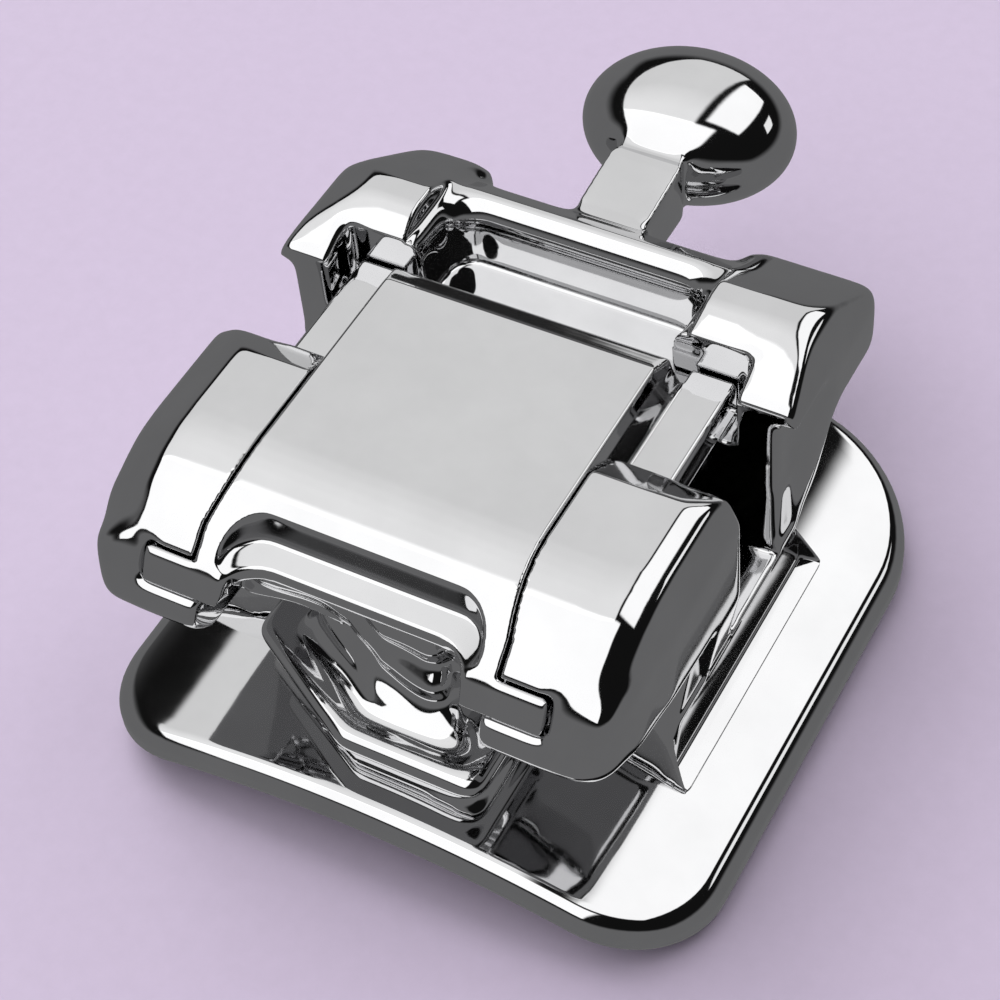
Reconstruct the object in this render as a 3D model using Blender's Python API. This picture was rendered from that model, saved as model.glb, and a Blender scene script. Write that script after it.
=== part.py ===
"""Passive self-ligating orthodontic bracket with a sliding door and a ball hook.

Frame: +X runs along the dental arch, +Y towards the gum (the hook's side), +Z away from the tooth.
The origin is on the plane that the bonding base stands on, under the middle of the whole bracket.
The pieces are drawn about the middle of the slot's wall, and one empty carries them all to the origin.
All sizes are in millimetres times MM, so the scene is in metres.
"""

import math

import bmesh
import bpy
from mathutils import Matrix, Vector

MM = 0.001
UP = 4.0 * MM  # how far a cutter runs past the bracket
ARC_STEP = math.radians(10)
ARC_CHORD = 0.06 * MM  # longest flat on a rounded edge or a curved face

# Fits
RUN = 0.015 * MM  # running clearance of the slide in its rails
SEAM = 0.012 * MM  # brazed seam between the body, the pad and the mesh

# Bonding base: a foil pad bent to the tooth, with a woven retention mesh under it
PAD_WIDTH = 3.40 * MM
PAD_LENGTH = 3.44 * MM
PAD_THICKNESS = 0.20 * MM
PAD_FRONT_RADIUS = 0.55 * MM
PAD_BACK_RADIUS = 0.85 * MM
PAD_EDGE_RADIUS = 0.07 * MM
PAD_OFFSET_X = 0.17 * MM
PAD_MIDDLE_Y = -0.12 * MM
TOOTH_RADIUS = 5.65 * MM
MESH_WIDTH = 3.00 * MM
MESH_LENGTH = 3.04 * MM
MESH_THICKNESS = 0.09 * MM
MESH_PITCH = 0.3175 * MM  # 80 openings to the inch
MESH_WIRE = 0.09 * MM
MESH_POCKET = 0.055 * MM

# Archwire slot, 0.022 x 0.028 inch
SLOT_HEIGHT = 0.559 * MM
SLOT_DEPTH = 0.711 * MM
SLOT_GUM_WALL = 0.36 * MM
SLOT_FLOOR_OVER_PAD = 0.165 * MM

# Slide
DOOR_FLANGE_THICKNESS = 0.20 * MM
DOOR_THICKNESS = 0.415 * MM
DOOR_PANEL_HALF = 0.745 * MM
DOOR_PANEL_FOOT_HALF = 0.825 * MM
DOOR_FLANGE_HALF = 1.07 * MM
DOOR_PANEL_END = 0.455 * MM
DOOR_FLANGE_END = 0.57 * MM
DOOR_NOSE_RADIUS = 0.85 * MM
DOOR_NOSE_CORNER = -1.13 * MM
DOOR_FRONT = -1.63 * MM
DOOR_TRAVEL = 0.78 * MM
U_CUT_HALF = 0.70 * MM
U_CUT_Y = -1.205 * MM
U_CUT_RADIUS = 0.20 * MM
U_CUT_LEDGE = 0.15 * MM
U_CUT_LEDGE_TOP = 0.125 * MM
U_CUT_LEDGE_LOW = 0.085 * MM
FOOT_HALF = 1.09 * MM
FLANGE_FRONT_THICKNESS = 0.095 * MM
FLANGE_STEP_Y = -0.38 * MM
FLANGE_ROOT_HALF = 0.815 * MM
FOOT_SHOULDER = -1.47 * MM
FOOT_DROP = 0.06 * MM  # how far the feet reach below the slide's underside
DOOR_END_BEVEL = 0.127 * MM
DOOR_END_BEVEL_DROP = 0.058 * MM
SEAT_HALF = DOOR_FLANGE_HALF + 0.075 * MM
DETENT_DEPTH = 0.045 * MM
DETENT_RADIUS = 0.12 * MM

# Lower tie wings
LOW_WING_HALF = 1.46 * MM
LOW_PLATE_LEFT = LOW_WING_HALF - 0.285 * MM  # edges of the flat plate on top of the wings
LOW_PLATE_RIGHT = LOW_WING_HALF - 0.205 * MM
LOW_PLATE_BACK = -0.405 * MM
LOW_WING_HEEL_DROP = 0.106 * MM  # how far the plate has fallen where it meets the slot
LOW_LEFT_FALL = 0.186 * MM
LOW_RIGHT_STRIP = 0.085 * MM  # the strip between the plate and the flank
LOW_RIGHT_STRIP_FALL = 0.055 * MM
LOW_RIGHT_FALL = 0.24 * MM
LOW_WING_NOSE_Y = -1.70 * MM
LOW_WING_NOSE_Z = 1.28 * MM
NOSE_BREAK_Y = -1.51 * MM  # where the nose turns steeper
NOSE_FOOT_Y = -1.64 * MM
NOSE_FOOT_Z = 1.20 * MM
LOW_WING_UNDER_Z = 1.045 * MM
LOW_WING_UNDER_Y = -1.57 * MM
LOW_WING_TAPER_Y = -0.88 * MM
LOW_WING_NOSE_HALF = LOW_WING_HALF - 0.11 * MM
LOW_WING_PLAN_RADIUS = 0.36 * MM
UP_WING_RIGHT_RADIUS = 0.22 * MM
UP_WING_LEFT_RADIUS = 0.62 * MM
UP_LEFT_RELIEF = 2.43 * MM  # distance from the origin to the plane that bevels the rear corner
UP_RIGHT_RELIEF = 2.60 * MM

# Fillets of the lower wings' flank, as (y, radius at the top, radius at the bottom) in millimetres
FLANK_FILLETS = (
    (0.30, 0.08, 0),
    (-0.50, 0.08, 0),
    (-0.80, 0.09, 0.04),
    (-0.95, 0.10, 0.06),
    (-1.10, 0.12, 0.09),
    (-1.25, 0.145, 0.13),
    (-1.40, 0.165, 0.17),
    (-1.90, 0.165, 0.17),
)

# Upper tie wings, bridge wall and pocket
UP_WING_HALF = LOW_WING_HALF + 0.02 * MM
UP_WING_INNER = 0.80 * MM
UP_WING_TOP = 1.88 * MM
UP_PLATE_BACK = 0.905 * MM
UP_PLATE_LEFT = UP_WING_HALF - 0.33 * MM
UP_PLATE_RIGHT = UP_WING_HALF - 0.195 * MM
UP_LEFT_STRIP = 0.08 * MM  # the strip between the plate and the flank, its fall and the flank's top
UP_LEFT_STRIP_FALL = 0.135 * MM
UP_LEFT_FALL = 0.31 * MM
UP_RIGHT_STRIP = 0.085 * MM
UP_RIGHT_STRIP_FALL = 0.05 * MM
UP_RIGHT_FALL = 0.26 * MM
UP_WING_TIP_Z = 1.615 * MM
UP_WING_LEG_Z = 1.69 * MM
UP_WING_RAMP_Y = 0.76 * MM
UP_WING_TIP_Y = 1.46 * MM
UP_WING_UNDER_Z = 1.30 * MM
UP_WING_LIP_Z = 1.60 * MM
BRIDGE_TOP = 1.78 * MM
BRIDGE_RIDGE_Y = 1.085 * MM
BRIDGE_BACK = 1.30 * MM
BRIDGE_BACK_TOP = 1.62 * MM
POCKET_HALF = 0.72 * MM
POCKET_FRONT = 0.50 * MM
POCKET_BACK = 0.965 * MM
POCKET_FLOOR = 1.385 * MM
POCKET_RADIUS = 0.16 * MM
POCKET_RIM_RADIUS = 0.17 * MM

# Pedestal between the wings and the pad
PEDESTAL_HALF = LOW_WING_HALF - 0.075 * MM
PEDESTAL_FRONT = -0.60 * MM
PEDESTAL_BACK = 0.60 * MM
PEDESTAL_FLARE = 0.18 * MM
PEDESTAL_LEFT_FLARE = 0.06 * MM
PEDESTAL_LEAN = 0.55
PEDESTAL_CORNER = 0.07 * MM
SLOT_SIDE_HALF = LOW_WING_HALF - 0.065 * MM

# Front boss that the opening tool seats on
BOSS_LEFT_X = -0.72 * MM
BOSS_FRONT_LEFT_X = 0.00 * MM
BOSS_RIGHT_X = 0.78 * MM
BOSS_SHOULDER_Y = -1.25 * MM
BOSS_FRONT_Y = -1.68 * MM
BOSS_BACK_Y = -0.25 * MM
BOSS_LIP_Z = 0.77 * MM
TOOL_GAP_HALF = 0.765 * MM
TOOL_GAP_Y = -1.22 * MM

# Ball hook
STEM_HALF = 0.206 * MM
STEM_END_Y = 1.84 * MM
STEM_UNDER_Z = 1.33 * MM
STEM_ROOT_Z = 1.64 * MM
STEM_END_Z = 1.71 * MM
NECK_RADIUS = 0.15 * MM
HEAD_Y = 2.25 * MM
HEAD_Z = 1.51 * MM
HEAD_HALF_WIDTH = 0.605 * MM
HEAD_HALF_LENGTH = 0.49 * MM
HEAD_HALF_HEIGHT = 0.36 * MM

# Retaining spring, a split tube of nickel titanium under the slide
SPRING_RADIUS = 0.14 * MM
SPRING_WALL = 0.035 * MM
SPRING_LENGTH = 0.96 * MM
SPRING_Y = -0.62 * MM
SPRING_SPLIT = math.radians(70)
SPRING_SIDE_GAP = 0.03 * MM
SPRING_PROUD = 0.006 * MM  # the spring's crest over the rails' floor, below the slide
SPRING_SEAT = 0.008 * MM

# Heights that follow from the sizes above
def sag(half):
    """How far the tooth's curve falls away at a distance from the pad's middle."""
    return TOOTH_RADIUS - math.sqrt(TOOTH_RADIUS**2 - half**2)


PAD_TOP = PAD_THICKNESS + SEAM + MESH_THICKNESS + sag(MESH_WIDTH / 2)
SLOT_FLOOR = PAD_TOP + SLOT_FLOOR_OVER_PAD
SLOT_LOW_WALL = SLOT_GUM_WALL - SLOT_HEIGHT
DOOR_UNDER = SLOT_FLOOR + SLOT_DEPTH
RAIL_FLOOR = DOOR_UNDER - RUN
FLANGE_TOP = DOOR_UNDER + DOOR_FLANGE_THICKNESS
FLANGE_FRONT_TOP = DOOR_UNDER + FLANGE_FRONT_THICKNESS
DOOR_TOP = DOOR_UNDER + DOOR_THICKNESS
SPRING_Z = RAIL_FLOOR + SPRING_PROUD - SPRING_RADIUS
SPRING_BOTTOM = SPRING_Z - SPRING_RADIUS * math.cos(SPRING_SPLIT / 2)


def clear_scene():
    for obj in list(bpy.data.objects):
        bpy.data.objects.remove(obj, do_unlink=True)


def collection(name):
    made = bpy.data.collections.new(name)
    bpy.context.scene.collection.children.link(made)
    return made


def material(name, color, roughness):
    made = bpy.data.materials.new(name)
    made.use_nodes = True
    shader = made.node_tree.nodes["Principled BSDF"]
    shader.inputs["Base Color"].default_value = (*color, 1)
    shader.inputs["Metallic"].default_value = 1
    shader.inputs["Roughness"].default_value = roughness
    made.diffuse_color = (*color, 1)
    return made


def outline(corners, fixed_steps=None):
    """A closed outline through corners (a, b, radius), each rounded by an arc of its radius."""
    points = []
    for i, (a, b, radius) in enumerate(corners):
        here = Vector((a, b))
        before = Vector(corners[i - 1][:2]) - here
        after = Vector(corners[(i + 1) % len(corners)][:2]) - here
        if radius == 0:
            points.append(here)
            continue
        opening = before.angle(after)
        turn = math.pi - opening
        reach = radius * math.tan(turn / 2)
        start = here + before.normalized() * reach
        middle = here + (before.normalized() + after.normalized()).normalized() * radius / math.sin(opening / 2)
        side = 1 if before.x * after.y - before.y * after.x < 0 else -1
        steps = fixed_steps or max(1, round(turn / ARC_STEP), math.ceil(turn * radius / ARC_CHORD))
        arm = start - middle
        for k in range(steps + 1):
            points.append(middle + Matrix.Rotation(side * turn * k / steps, 2) @ arm)
    return points


def new_object(name, bm, group, finish=None):
    """The finished mesh as an object, with its faces pointing out."""
    bmesh.ops.recalc_face_normals(bm, faces=bm.faces)
    if bm.calc_volume(signed=True) < 0:
        bmesh.ops.reverse_faces(bm, faces=bm.faces)
    mesh = bpy.data.meshes.new(name)
    bm.to_mesh(mesh)
    bm.free()
    made = bpy.data.objects.new(name, mesh)
    group.objects.link(made)
    if finish:
        mesh.materials.append(finish)
    else:
        made.hide_render = True
        made.display_type = "WIRE"
    return made


def prism(name, points, axis, low, high, group, finish=None):
    """A flat outline extruded along X, Y or Z. It is drawn in the plane of the other two axes, in order."""
    bm = bmesh.new()
    place = {
        "X": lambda a, b: (low, a, b),
        "Y": lambda a, b: (a, low, b),
        "Z": lambda a, b: (a, b, low),
    }[axis]
    face = bm.faces.new([bm.verts.new(place(a, b)) for a, b in points])
    grown = bmesh.ops.extrude_face_region(bm, geom=[face])
    moved = [item for item in grown["geom"] if isinstance(item, bmesh.types.BMVert)]
    step = {"X": Vector((1, 0, 0)), "Y": Vector((0, 1, 0)), "Z": Vector((0, 0, 1))}[axis]
    bmesh.ops.translate(bm, vec=step * (high - low), verts=moved)
    return new_object(name, bm, group, finish)


def both_sides(half):
    """Mirrors a half outline, which starts and ends at a = 0, into a whole one."""
    return list(half) + [(-a, b, radius) for a, b, radius in reversed(half) if a > 0]


def rectangle(x_low, x_high, y_low, y_high, radius):
    return outline(
        [
            (x_low, y_low, radius),
            (x_high, y_low, radius),
            (x_high, y_high, radius),
            (x_low, y_high, radius),
        ]
    )


def loft(name, rings, group, finish=None):
    """A solid through rings of points, with a flat cap at each end."""
    bm = bmesh.new()
    rows = [[bm.verts.new(point) for point in ring] for ring in rings]
    count = len(rows[0])
    for lower, upper in zip(rows, rows[1:]):
        for i in range(count):
            j = (i + 1) % count
            bm.faces.new((lower[i], lower[j], upper[j], upper[i]))
    bm.faces.new(rows[0])
    bm.faces.new(rows[-1])
    return new_object(name, bm, group, finish)


def boolean(target, other, operation):
    step = target.modifiers.new(other.name, "BOOLEAN")
    step.operation = operation
    step.object = other
    step.solver = "EXACT"


def flat_slab(name, width, length, radii, edge, thickness, group, finish):
    """A flat plate with rounded corners and rounded edges, its top at z = 0."""
    turns = 4
    levels = []
    for k in range(turns + 1):
        angle = math.pi / 2 * k / turns
        levels.append((edge * (1 - math.sin(angle)), -thickness + edge * (1 - math.cos(angle))))
    levels += [(inset, -thickness - z) for inset, z in reversed(levels)]
    rings = []
    for inset, z in levels:
        x, y = width / 2 - inset, length / 2 - inset
        front, back = radii[0] - inset, radii[1] - inset
        points = outline([(-x, -y, front), (x, -y, front), (x, y, back), (-x, y, back)])
        rings.append([(px, py, z) for px, py in points])
    return loft(name, rings, group, finish)


def bend_over_tooth(obj, top, strips):
    """Cuts the plate into strips along Y, bends it about Y and moves it to its place."""
    bm = bmesh.new()
    bm.from_mesh(obj.data)
    for k in range(1, strips):
        at = PAD_WIDTH * (k / strips - 0.5)
        bmesh.ops.bisect_plane(
            bm,
            geom=bm.verts[:] + bm.edges[:] + bm.faces[:],
            dist=1e-7,
            plane_co=(at, 0, 0),
            plane_no=(1, 0, 0),
        )
    for vertex in bm.verts:
        vertex.co.z += top - sag(vertex.co.x)
        vertex.co.x += PAD_OFFSET_X
        vertex.co.y += PAD_MIDDLE_Y
    bm.to_mesh(obj.data)
    bm.free()


def bonding_pad(parts, steel):
    radii = (PAD_FRONT_RADIUS, PAD_BACK_RADIUS)
    pad = flat_slab("bonding_pad", PAD_WIDTH, PAD_LENGTH, radii, PAD_EDGE_RADIUS, PAD_THICKNESS, parts, steel)
    bend_over_tooth(pad, PAD_TOP, 24)


def retention_mesh(parts, cutters, steel):
    """The woven mesh as a plate with one pocket for each opening, on the side of the tooth."""
    across = round(MESH_WIDTH / MESH_PITCH)
    along = round(MESH_LENGTH / MESH_PITCH)
    bm = bmesh.new()
    bmesh.ops.create_grid(bm, x_segments=across, y_segments=along, size=0.5)
    bmesh.ops.scale(bm, vec=(MESH_WIDTH, MESH_LENGTH, 1), verts=bm.verts)
    openings = list(bm.faces)
    shell = bmesh.ops.extrude_face_region(bm, geom=openings, use_keep_orig=True)
    raised = [item for item in shell["geom"] if isinstance(item, bmesh.types.BMVert)]
    bmesh.ops.translate(bm, vec=(0, 0, MESH_THICKNESS), verts=raised)
    bmesh.ops.inset_individual(bm, faces=openings, thickness=MESH_WIRE / 2, depth=0)
    floors = {vertex for face in openings for vertex in face.verts}
    bmesh.ops.translate(bm, vec=(0, 0, MESH_POCKET), verts=list(floors))
    for vertex in bm.verts:
        vertex.co.z += PAD_TOP - PAD_THICKNESS - SEAM - MESH_THICKNESS - sag(vertex.co.x)
        vertex.co.x += PAD_OFFSET_X
        vertex.co.y += PAD_MIDDLE_Y
    mesh = new_object("retention_mesh", bm, parts, steel)
    inset = (PAD_WIDTH - MESH_WIDTH) / 2 - 0.02 * MM
    x, y = PAD_WIDTH / 2 - inset, PAD_LENGTH / 2 - inset
    corners = [
        (-x, -y, PAD_FRONT_RADIUS - inset),
        (x, -y, PAD_FRONT_RADIUS - inset),
        (x, y, PAD_BACK_RADIUS - inset),
        (-x, y, PAD_BACK_RADIUS - inset),
    ]
    placed = [(px + PAD_OFFSET_X, py + PAD_MIDDLE_Y) for px, py in outline(corners)]
    boolean(mesh, prism("mesh_outline", placed, "Z", -UP, UP, cutters), "INTERSECT")


def pedestal(cutters):
    """The pedestal, which flares out to its foot on the pad."""
    foot = PAD_TOP - sag(PEDESTAL_HALF)
    top = LOW_WING_UNDER_Z + 0.08 * MM
    levels = [
        (PEDESTAL_FLARE, 0.0),
        (PEDESTAL_FLARE, foot),
        (0.0, SLOT_FLOOR),
        (0.0, top),
    ]
    rings = []
    for flare, z in levels:
        points = rectangle(
            -PEDESTAL_HALF - flare * PEDESTAL_LEFT_FLARE / PEDESTAL_FLARE,
            PEDESTAL_HALF + flare,
            PEDESTAL_FRONT - min((top - z) * PEDESTAL_LEAN, 0.38 * MM),
            PEDESTAL_BACK + flare / 3,
            PEDESTAL_CORNER,
        )
        rings.append([(x, y, z) for x, y in points])
    return loft("pedestal", rings, cutters)


def nose_height(y):
    """Height of the lower wings' top at y: level, then round an arc, then straight down to the nose."""
    fall = math.atan2(DOOR_TOP - LOW_WING_NOSE_Z, DOOR_NOSE_CORNER - LOW_WING_NOSE_Y)
    start = DOOR_NOSE_CORNER + DOOR_NOSE_RADIUS * math.tan(fall / 2)
    past = max(0, start - y)
    if past < DOOR_NOSE_RADIUS * math.sin(fall):
        return DOOR_TOP - DOOR_NOSE_RADIUS + math.sqrt(DOOR_NOSE_RADIUS**2 - past**2)
    return LOW_WING_NOSE_Z + (y - LOW_WING_NOSE_Y) * math.tan(fall)


def low_front_view(cutters):
    """The lower wings seen from the front: a flat plate, falling flanks and a fillet that grows to the nose."""
    rings = []
    under = LOW_WING_UNDER_Z - 0.005 * MM
    for y, radius, under_radius in FLANK_FILLETS:
        top = nose_height(max(y, -1.40) * MM)
        inner = (SLOT_SIDE_HALF, SLOT_FLOOR)
        if under_radius:
            inner = (LOW_WING_HALF - 0.4 * MM, LOW_WING_UNDER_Z - 0.02 * MM)
        under_fillet = max(under_radius, 0.01) * MM
        corners = [
            (-DOOR_PANEL_HALF, top + 0.02 * MM, 0),
            (DOOR_PANEL_HALF, top + 0.02 * MM, 0),
            (LOW_PLATE_RIGHT, top + 0.002 * MM, 0.05 * MM),
            (LOW_WING_HALF - LOW_RIGHT_STRIP, top - LOW_RIGHT_STRIP_FALL, 0.05 * MM),
            (LOW_WING_HALF, top - LOW_RIGHT_FALL, radius * MM),
            (LOW_WING_HALF, under, under_fillet),
            (*inner, 0),
            (inner[0], SLOT_FLOOR - 0.2 * MM, 0),
            (-inner[0], SLOT_FLOOR - 0.2 * MM, 0),
            (-inner[0], inner[1], 0),
            (-LOW_WING_HALF, under, under_fillet),
            (-LOW_WING_HALF, top - LOW_LEFT_FALL, radius * MM),
            (-LOW_PLATE_LEFT, top + 0.002 * MM, 0.05 * MM),
        ]
        rings.append([(x, y * MM, z) for x, z in outline(corners, 6)])
    return loft("low_front_view", rings, cutters)


def low_wings(cutters):
    """The lower pair of tie wings as one block: side profile, front view and plan, intersected."""
    slope = LOW_WING_HEEL_DROP / (SLOT_LOW_WALL - LOW_PLATE_BACK)
    heel = DOOR_TOP - slope * (SLOT_LOW_WALL + 0.1 * MM - LOW_PLATE_BACK)
    profile = outline(
        [
            (SLOT_LOW_WALL + 0.1 * MM, SLOT_FLOOR - 0.1 * MM, 0),
            (SLOT_LOW_WALL + 0.1 * MM, heel, 0),
            (LOW_PLATE_BACK, DOOR_TOP, 0.03 * MM),
            (DOOR_NOSE_CORNER, DOOR_TOP, DOOR_NOSE_RADIUS),
            (NOSE_BREAK_Y, nose_height(NOSE_BREAK_Y), 0.05 * MM),
            (NOSE_FOOT_Y, NOSE_FOOT_Z, 0.10 * MM),
            (LOW_WING_UNDER_Y, LOW_WING_UNDER_Z, 0.18 * MM),
            (PEDESTAL_FRONT + 0.07 * MM, LOW_WING_UNDER_Z, 0),
            (PEDESTAL_FRONT + 0.07 * MM, SLOT_FLOOR - 0.1 * MM, 0),
        ]
    )
    block = prism("low_wings", profile, "X", -LOW_WING_HALF, LOW_WING_HALF, cutters)
    boolean(block, low_front_view(cutters), "INTERSECT")
    plan = outline(
        [
            (-LOW_WING_NOSE_HALF, LOW_WING_NOSE_Y, LOW_WING_PLAN_RADIUS),
            (LOW_WING_NOSE_HALF, LOW_WING_NOSE_Y, LOW_WING_PLAN_RADIUS),
            (LOW_WING_HALF + RUN, LOW_WING_TAPER_Y, 0.6 * MM),
            (LOW_WING_HALF + RUN, 0, 0),
            (-LOW_WING_HALF - RUN, 0, 0),
            (-LOW_WING_HALF - RUN, LOW_WING_TAPER_Y, 0.6 * MM),
        ]
    )
    boolean(block, prism("low_plan", plan, "Z", 0, UP, cutters), "INTERSECT")
    return block


def up_wings(cutters):
    """The upper pair of tie wings and the bridge wall between them, as one block."""
    profile = outline(
        [
            (SLOT_GUM_WALL - 0.1 * MM, SLOT_FLOOR - 0.1 * MM, 0),
            (SLOT_GUM_WALL - 0.1 * MM, UP_WING_LEG_Z - 0.045 * MM, 0),
            (UP_WING_RAMP_Y, UP_WING_TOP, 0.25 * MM),
            (UP_PLATE_BACK, UP_WING_TOP, 0.03 * MM),
            (UP_WING_TIP_Y, UP_WING_TIP_Z, 0.10 * MM),
            (1.35 * MM, UP_WING_UNDER_Z, 0.10 * MM),
            (0.88 * MM, UP_WING_UNDER_Z, 0.10 * MM),
            (0.79 * MM, 0.82 * MM, 0.28 * MM),
            (PEDESTAL_BACK - 0.03 * MM, SLOT_FLOOR - 0.03 * MM, 0),
            (PEDESTAL_BACK - 0.03 * MM, SLOT_FLOOR - 0.1 * MM, 0),
        ]
    )
    block = prism("up_wings", profile, "X", -UP_WING_HALF, UP_WING_HALF, cutters)
    front = [
        (-UP_PLATE_LEFT, UP_WING_TOP + 0.002 * MM, 0.06 * MM),
        (UP_PLATE_RIGHT, UP_WING_TOP + 0.002 * MM, 0.04 * MM),
        (UP_WING_HALF - UP_RIGHT_STRIP, UP_WING_TOP - UP_RIGHT_STRIP_FALL, 0.05 * MM),
        (UP_WING_HALF, UP_WING_TOP - UP_RIGHT_FALL, 0.12 * MM),
        (UP_WING_HALF, UP_WING_UNDER_Z, 0),
        (SLOT_SIDE_HALF, SLOT_FLOOR, 0),
        (SLOT_SIDE_HALF, SLOT_FLOOR - 0.2 * MM, 0),
        (-SLOT_SIDE_HALF, SLOT_FLOOR - 0.2 * MM, 0),
        (-SLOT_SIDE_HALF, SLOT_FLOOR, 0),
        (-UP_WING_HALF, UP_WING_UNDER_Z, 0),
        (-UP_WING_HALF, UP_WING_TOP - UP_LEFT_FALL, 0.10 * MM),
        (-UP_WING_HALF + UP_LEFT_STRIP, UP_WING_TOP - UP_LEFT_STRIP_FALL, 0.15 * MM),
    ]
    boolean(block, prism("up_front_view", outline(front), "Y", -UP, UP, cutters), "INTERSECT")
    plan = outline(
        [
            (-UP_WING_HALF - RUN, 0, 0),
            (UP_WING_HALF + RUN, 0, 0),
            (UP_WING_HALF + RUN, UP_WING_TIP_Y, UP_WING_RIGHT_RADIUS),
            (0.76 * MM, UP_WING_TIP_Y, 0.08 * MM),
            (0.70 * MM, BRIDGE_BACK, 0.10 * MM),
            (-0.70 * MM, BRIDGE_BACK, 0.10 * MM),
            (-0.76 * MM, UP_WING_TIP_Y, 0.08 * MM),
            (-UP_WING_HALF - RUN, UP_WING_TIP_Y, UP_WING_LEFT_RADIUS),
        ]
    )
    boolean(block, prism("up_plan", plan, "Z", 0, UP, cutters), "INTERSECT")
    saddle = outline(
        [
            (0, BRIDGE_TOP, 0),
            (BRIDGE_RIDGE_Y, BRIDGE_TOP, 0.03 * MM),
            (BRIDGE_BACK, BRIDGE_BACK_TOP, 0),
            (UP, BRIDGE_BACK_TOP, 0),
            (UP, UP, 0),
            (0, UP, 0),
        ]
    )
    boolean(block, prism("saddle_cut", saddle, "X", -UP_WING_INNER, UP_WING_INNER, cutters), "DIFFERENCE")
    for side, reach in ((-1, UP_LEFT_RELIEF), (1, UP_RIGHT_RELIEF)):
        normal = Vector((side * 0.5, 0.5, math.sqrt(0.5)))
        turn = normal.to_track_quat("Z", "Y").to_matrix().to_4x4()
        centre = Matrix.Translation(normal * (reach + MM))
        bm = bmesh.new()
        bmesh.ops.create_cube(bm, size=2 * MM, matrix=centre @ turn)
        boolean(block, new_object(f"corner_relief_{side}", bm, cutters), "DIFFERENCE")
    for side in (-1, 1):
        neck = [
            (side * SLOT_SIDE_HALF * 0.985, 0.1 * MM),
            (side * SLOT_SIDE_HALF * 0.985, 0.50 * MM),
            (side * UP_WING_HALF * 1.01, 0.86 * MM),
            (side * 2 * MM, 0.86 * MM),
            (side * 2 * MM, 0.1 * MM),
        ]
        relief = prism(f"flank_relief_{side}", neck, "Z", SLOT_FLOOR + 0.04 * MM, UP_WING_LIP_Z, cutters)
        boolean(block, relief, "DIFFERENCE")
    return block


def boss(cutters):
    """The six-sided boss: a rolled lip over a waist, with a hollow curve rising from it to the body."""
    lip = BOSS_LIP_Z
    levels = [
        (0.02, 0.20 * MM),
        (0.02, PAD_TOP - 0.02 * MM),
        (0.09, PAD_TOP + 0.05 * MM),
        (0.09, lip - 0.13 * MM),
        (0.02, lip - 0.08 * MM),
        (0.0, lip - 0.02 * MM),
        (0.02, lip + 0.03 * MM),
        (0.08, lip + 0.05 * MM),
        (0.16, lip + 0.03 * MM),
        (0.24, lip + 0.06 * MM),
        (0.32, lip + 0.16 * MM),
        (0.37, lip + 0.32 * MM),
        (0.39, RAIL_FLOOR - 0.05 * MM),
    ]
    rings = []
    for share, z in levels:
        inset = share * MM
        points = outline(
            [
                (BOSS_LEFT_X + inset, BOSS_BACK_Y - inset, 0),
                (BOSS_LEFT_X + inset, BOSS_SHOULDER_Y + inset * 0.3, 0.07 * MM),
                (BOSS_FRONT_LEFT_X + inset * 0.25, BOSS_FRONT_Y + inset, 0.07 * MM),
                (BOSS_RIGHT_X - inset, BOSS_FRONT_Y + inset, 0.10 * MM),
                (BOSS_RIGHT_X - inset, BOSS_BACK_Y - inset, 0),
            ],
            5,
        )
        rings.append([(x, y, z) for x, y in points])
    return loft("boss", rings, cutters)


def ball_hook(cutters):
    """The stem, its round neck and the flattened ball head."""
    root = BRIDGE_BACK - 0.22 * MM
    side = [
        (root, STEM_UNDER_Z),
        (STEM_END_Y, STEM_UNDER_Z),
        (STEM_END_Y, STEM_END_Z),
        (BRIDGE_BACK, STEM_ROOT_Z),
        (root, STEM_ROOT_Z - 0.02 * MM),
    ]
    stem = prism("hook_stem", side, "X", -STEM_HALF, STEM_HALF, cutters)
    bm = bmesh.new()
    neck_start = STEM_END_Y - 0.1 * MM
    middle = Matrix.Translation((0, (neck_start + HEAD_Y) / 2, (STEM_UNDER_Z + STEM_END_Z) / 2))
    bmesh.ops.create_cone(
        bm,
        cap_ends=True,
        segments=32,
        radius1=NECK_RADIUS,
        radius2=NECK_RADIUS,
        depth=HEAD_Y - neck_start,
        matrix=middle @ Matrix.Rotation(math.pi / 2, 4, "X"),
    )
    boolean(stem, new_object("hook_neck", bm, cutters), "UNION")
    bm = bmesh.new()
    size = Matrix.Diagonal((HEAD_HALF_WIDTH, HEAD_HALF_LENGTH, HEAD_HALF_HEIGHT, 1))
    place = Matrix.Translation((0, HEAD_Y, HEAD_Z)) @ size
    bmesh.ops.create_uvsphere(bm, u_segments=64, v_segments=28, radius=1, matrix=place)
    boolean(stem, new_object("hook_head", bm, cutters), "UNION")
    return stem


def box(name, x, y, z, group):
    """A plain cutter between (low, high) pairs."""
    bm = bmesh.new()
    middle = [(low + high) / 2 for low, high in (x, y, z)]
    size = [high - low for low, high in (x, y, z)]
    bmesh.ops.create_cube(bm, size=1, matrix=Matrix.Translation(middle) @ Matrix.Diagonal((*size, 1)))
    return new_object(name, bm, group)


def pad_bed(cutters):
    """The curved bed that the body's foot is cut to, one seam above the pad."""
    strips = 24
    points = [(-PAD_WIDTH / 2 + PAD_OFFSET_X, -UP), (PAD_WIDTH / 2 + PAD_OFFSET_X, -UP)]
    for k in range(strips + 1):
        x = PAD_WIDTH * (0.5 - k / strips)
        points.append((x + PAD_OFFSET_X, PAD_TOP + SEAM - sag(x)))
    return prism("pad_bed", points, "Y", -UP, UP, cutters)


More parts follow.
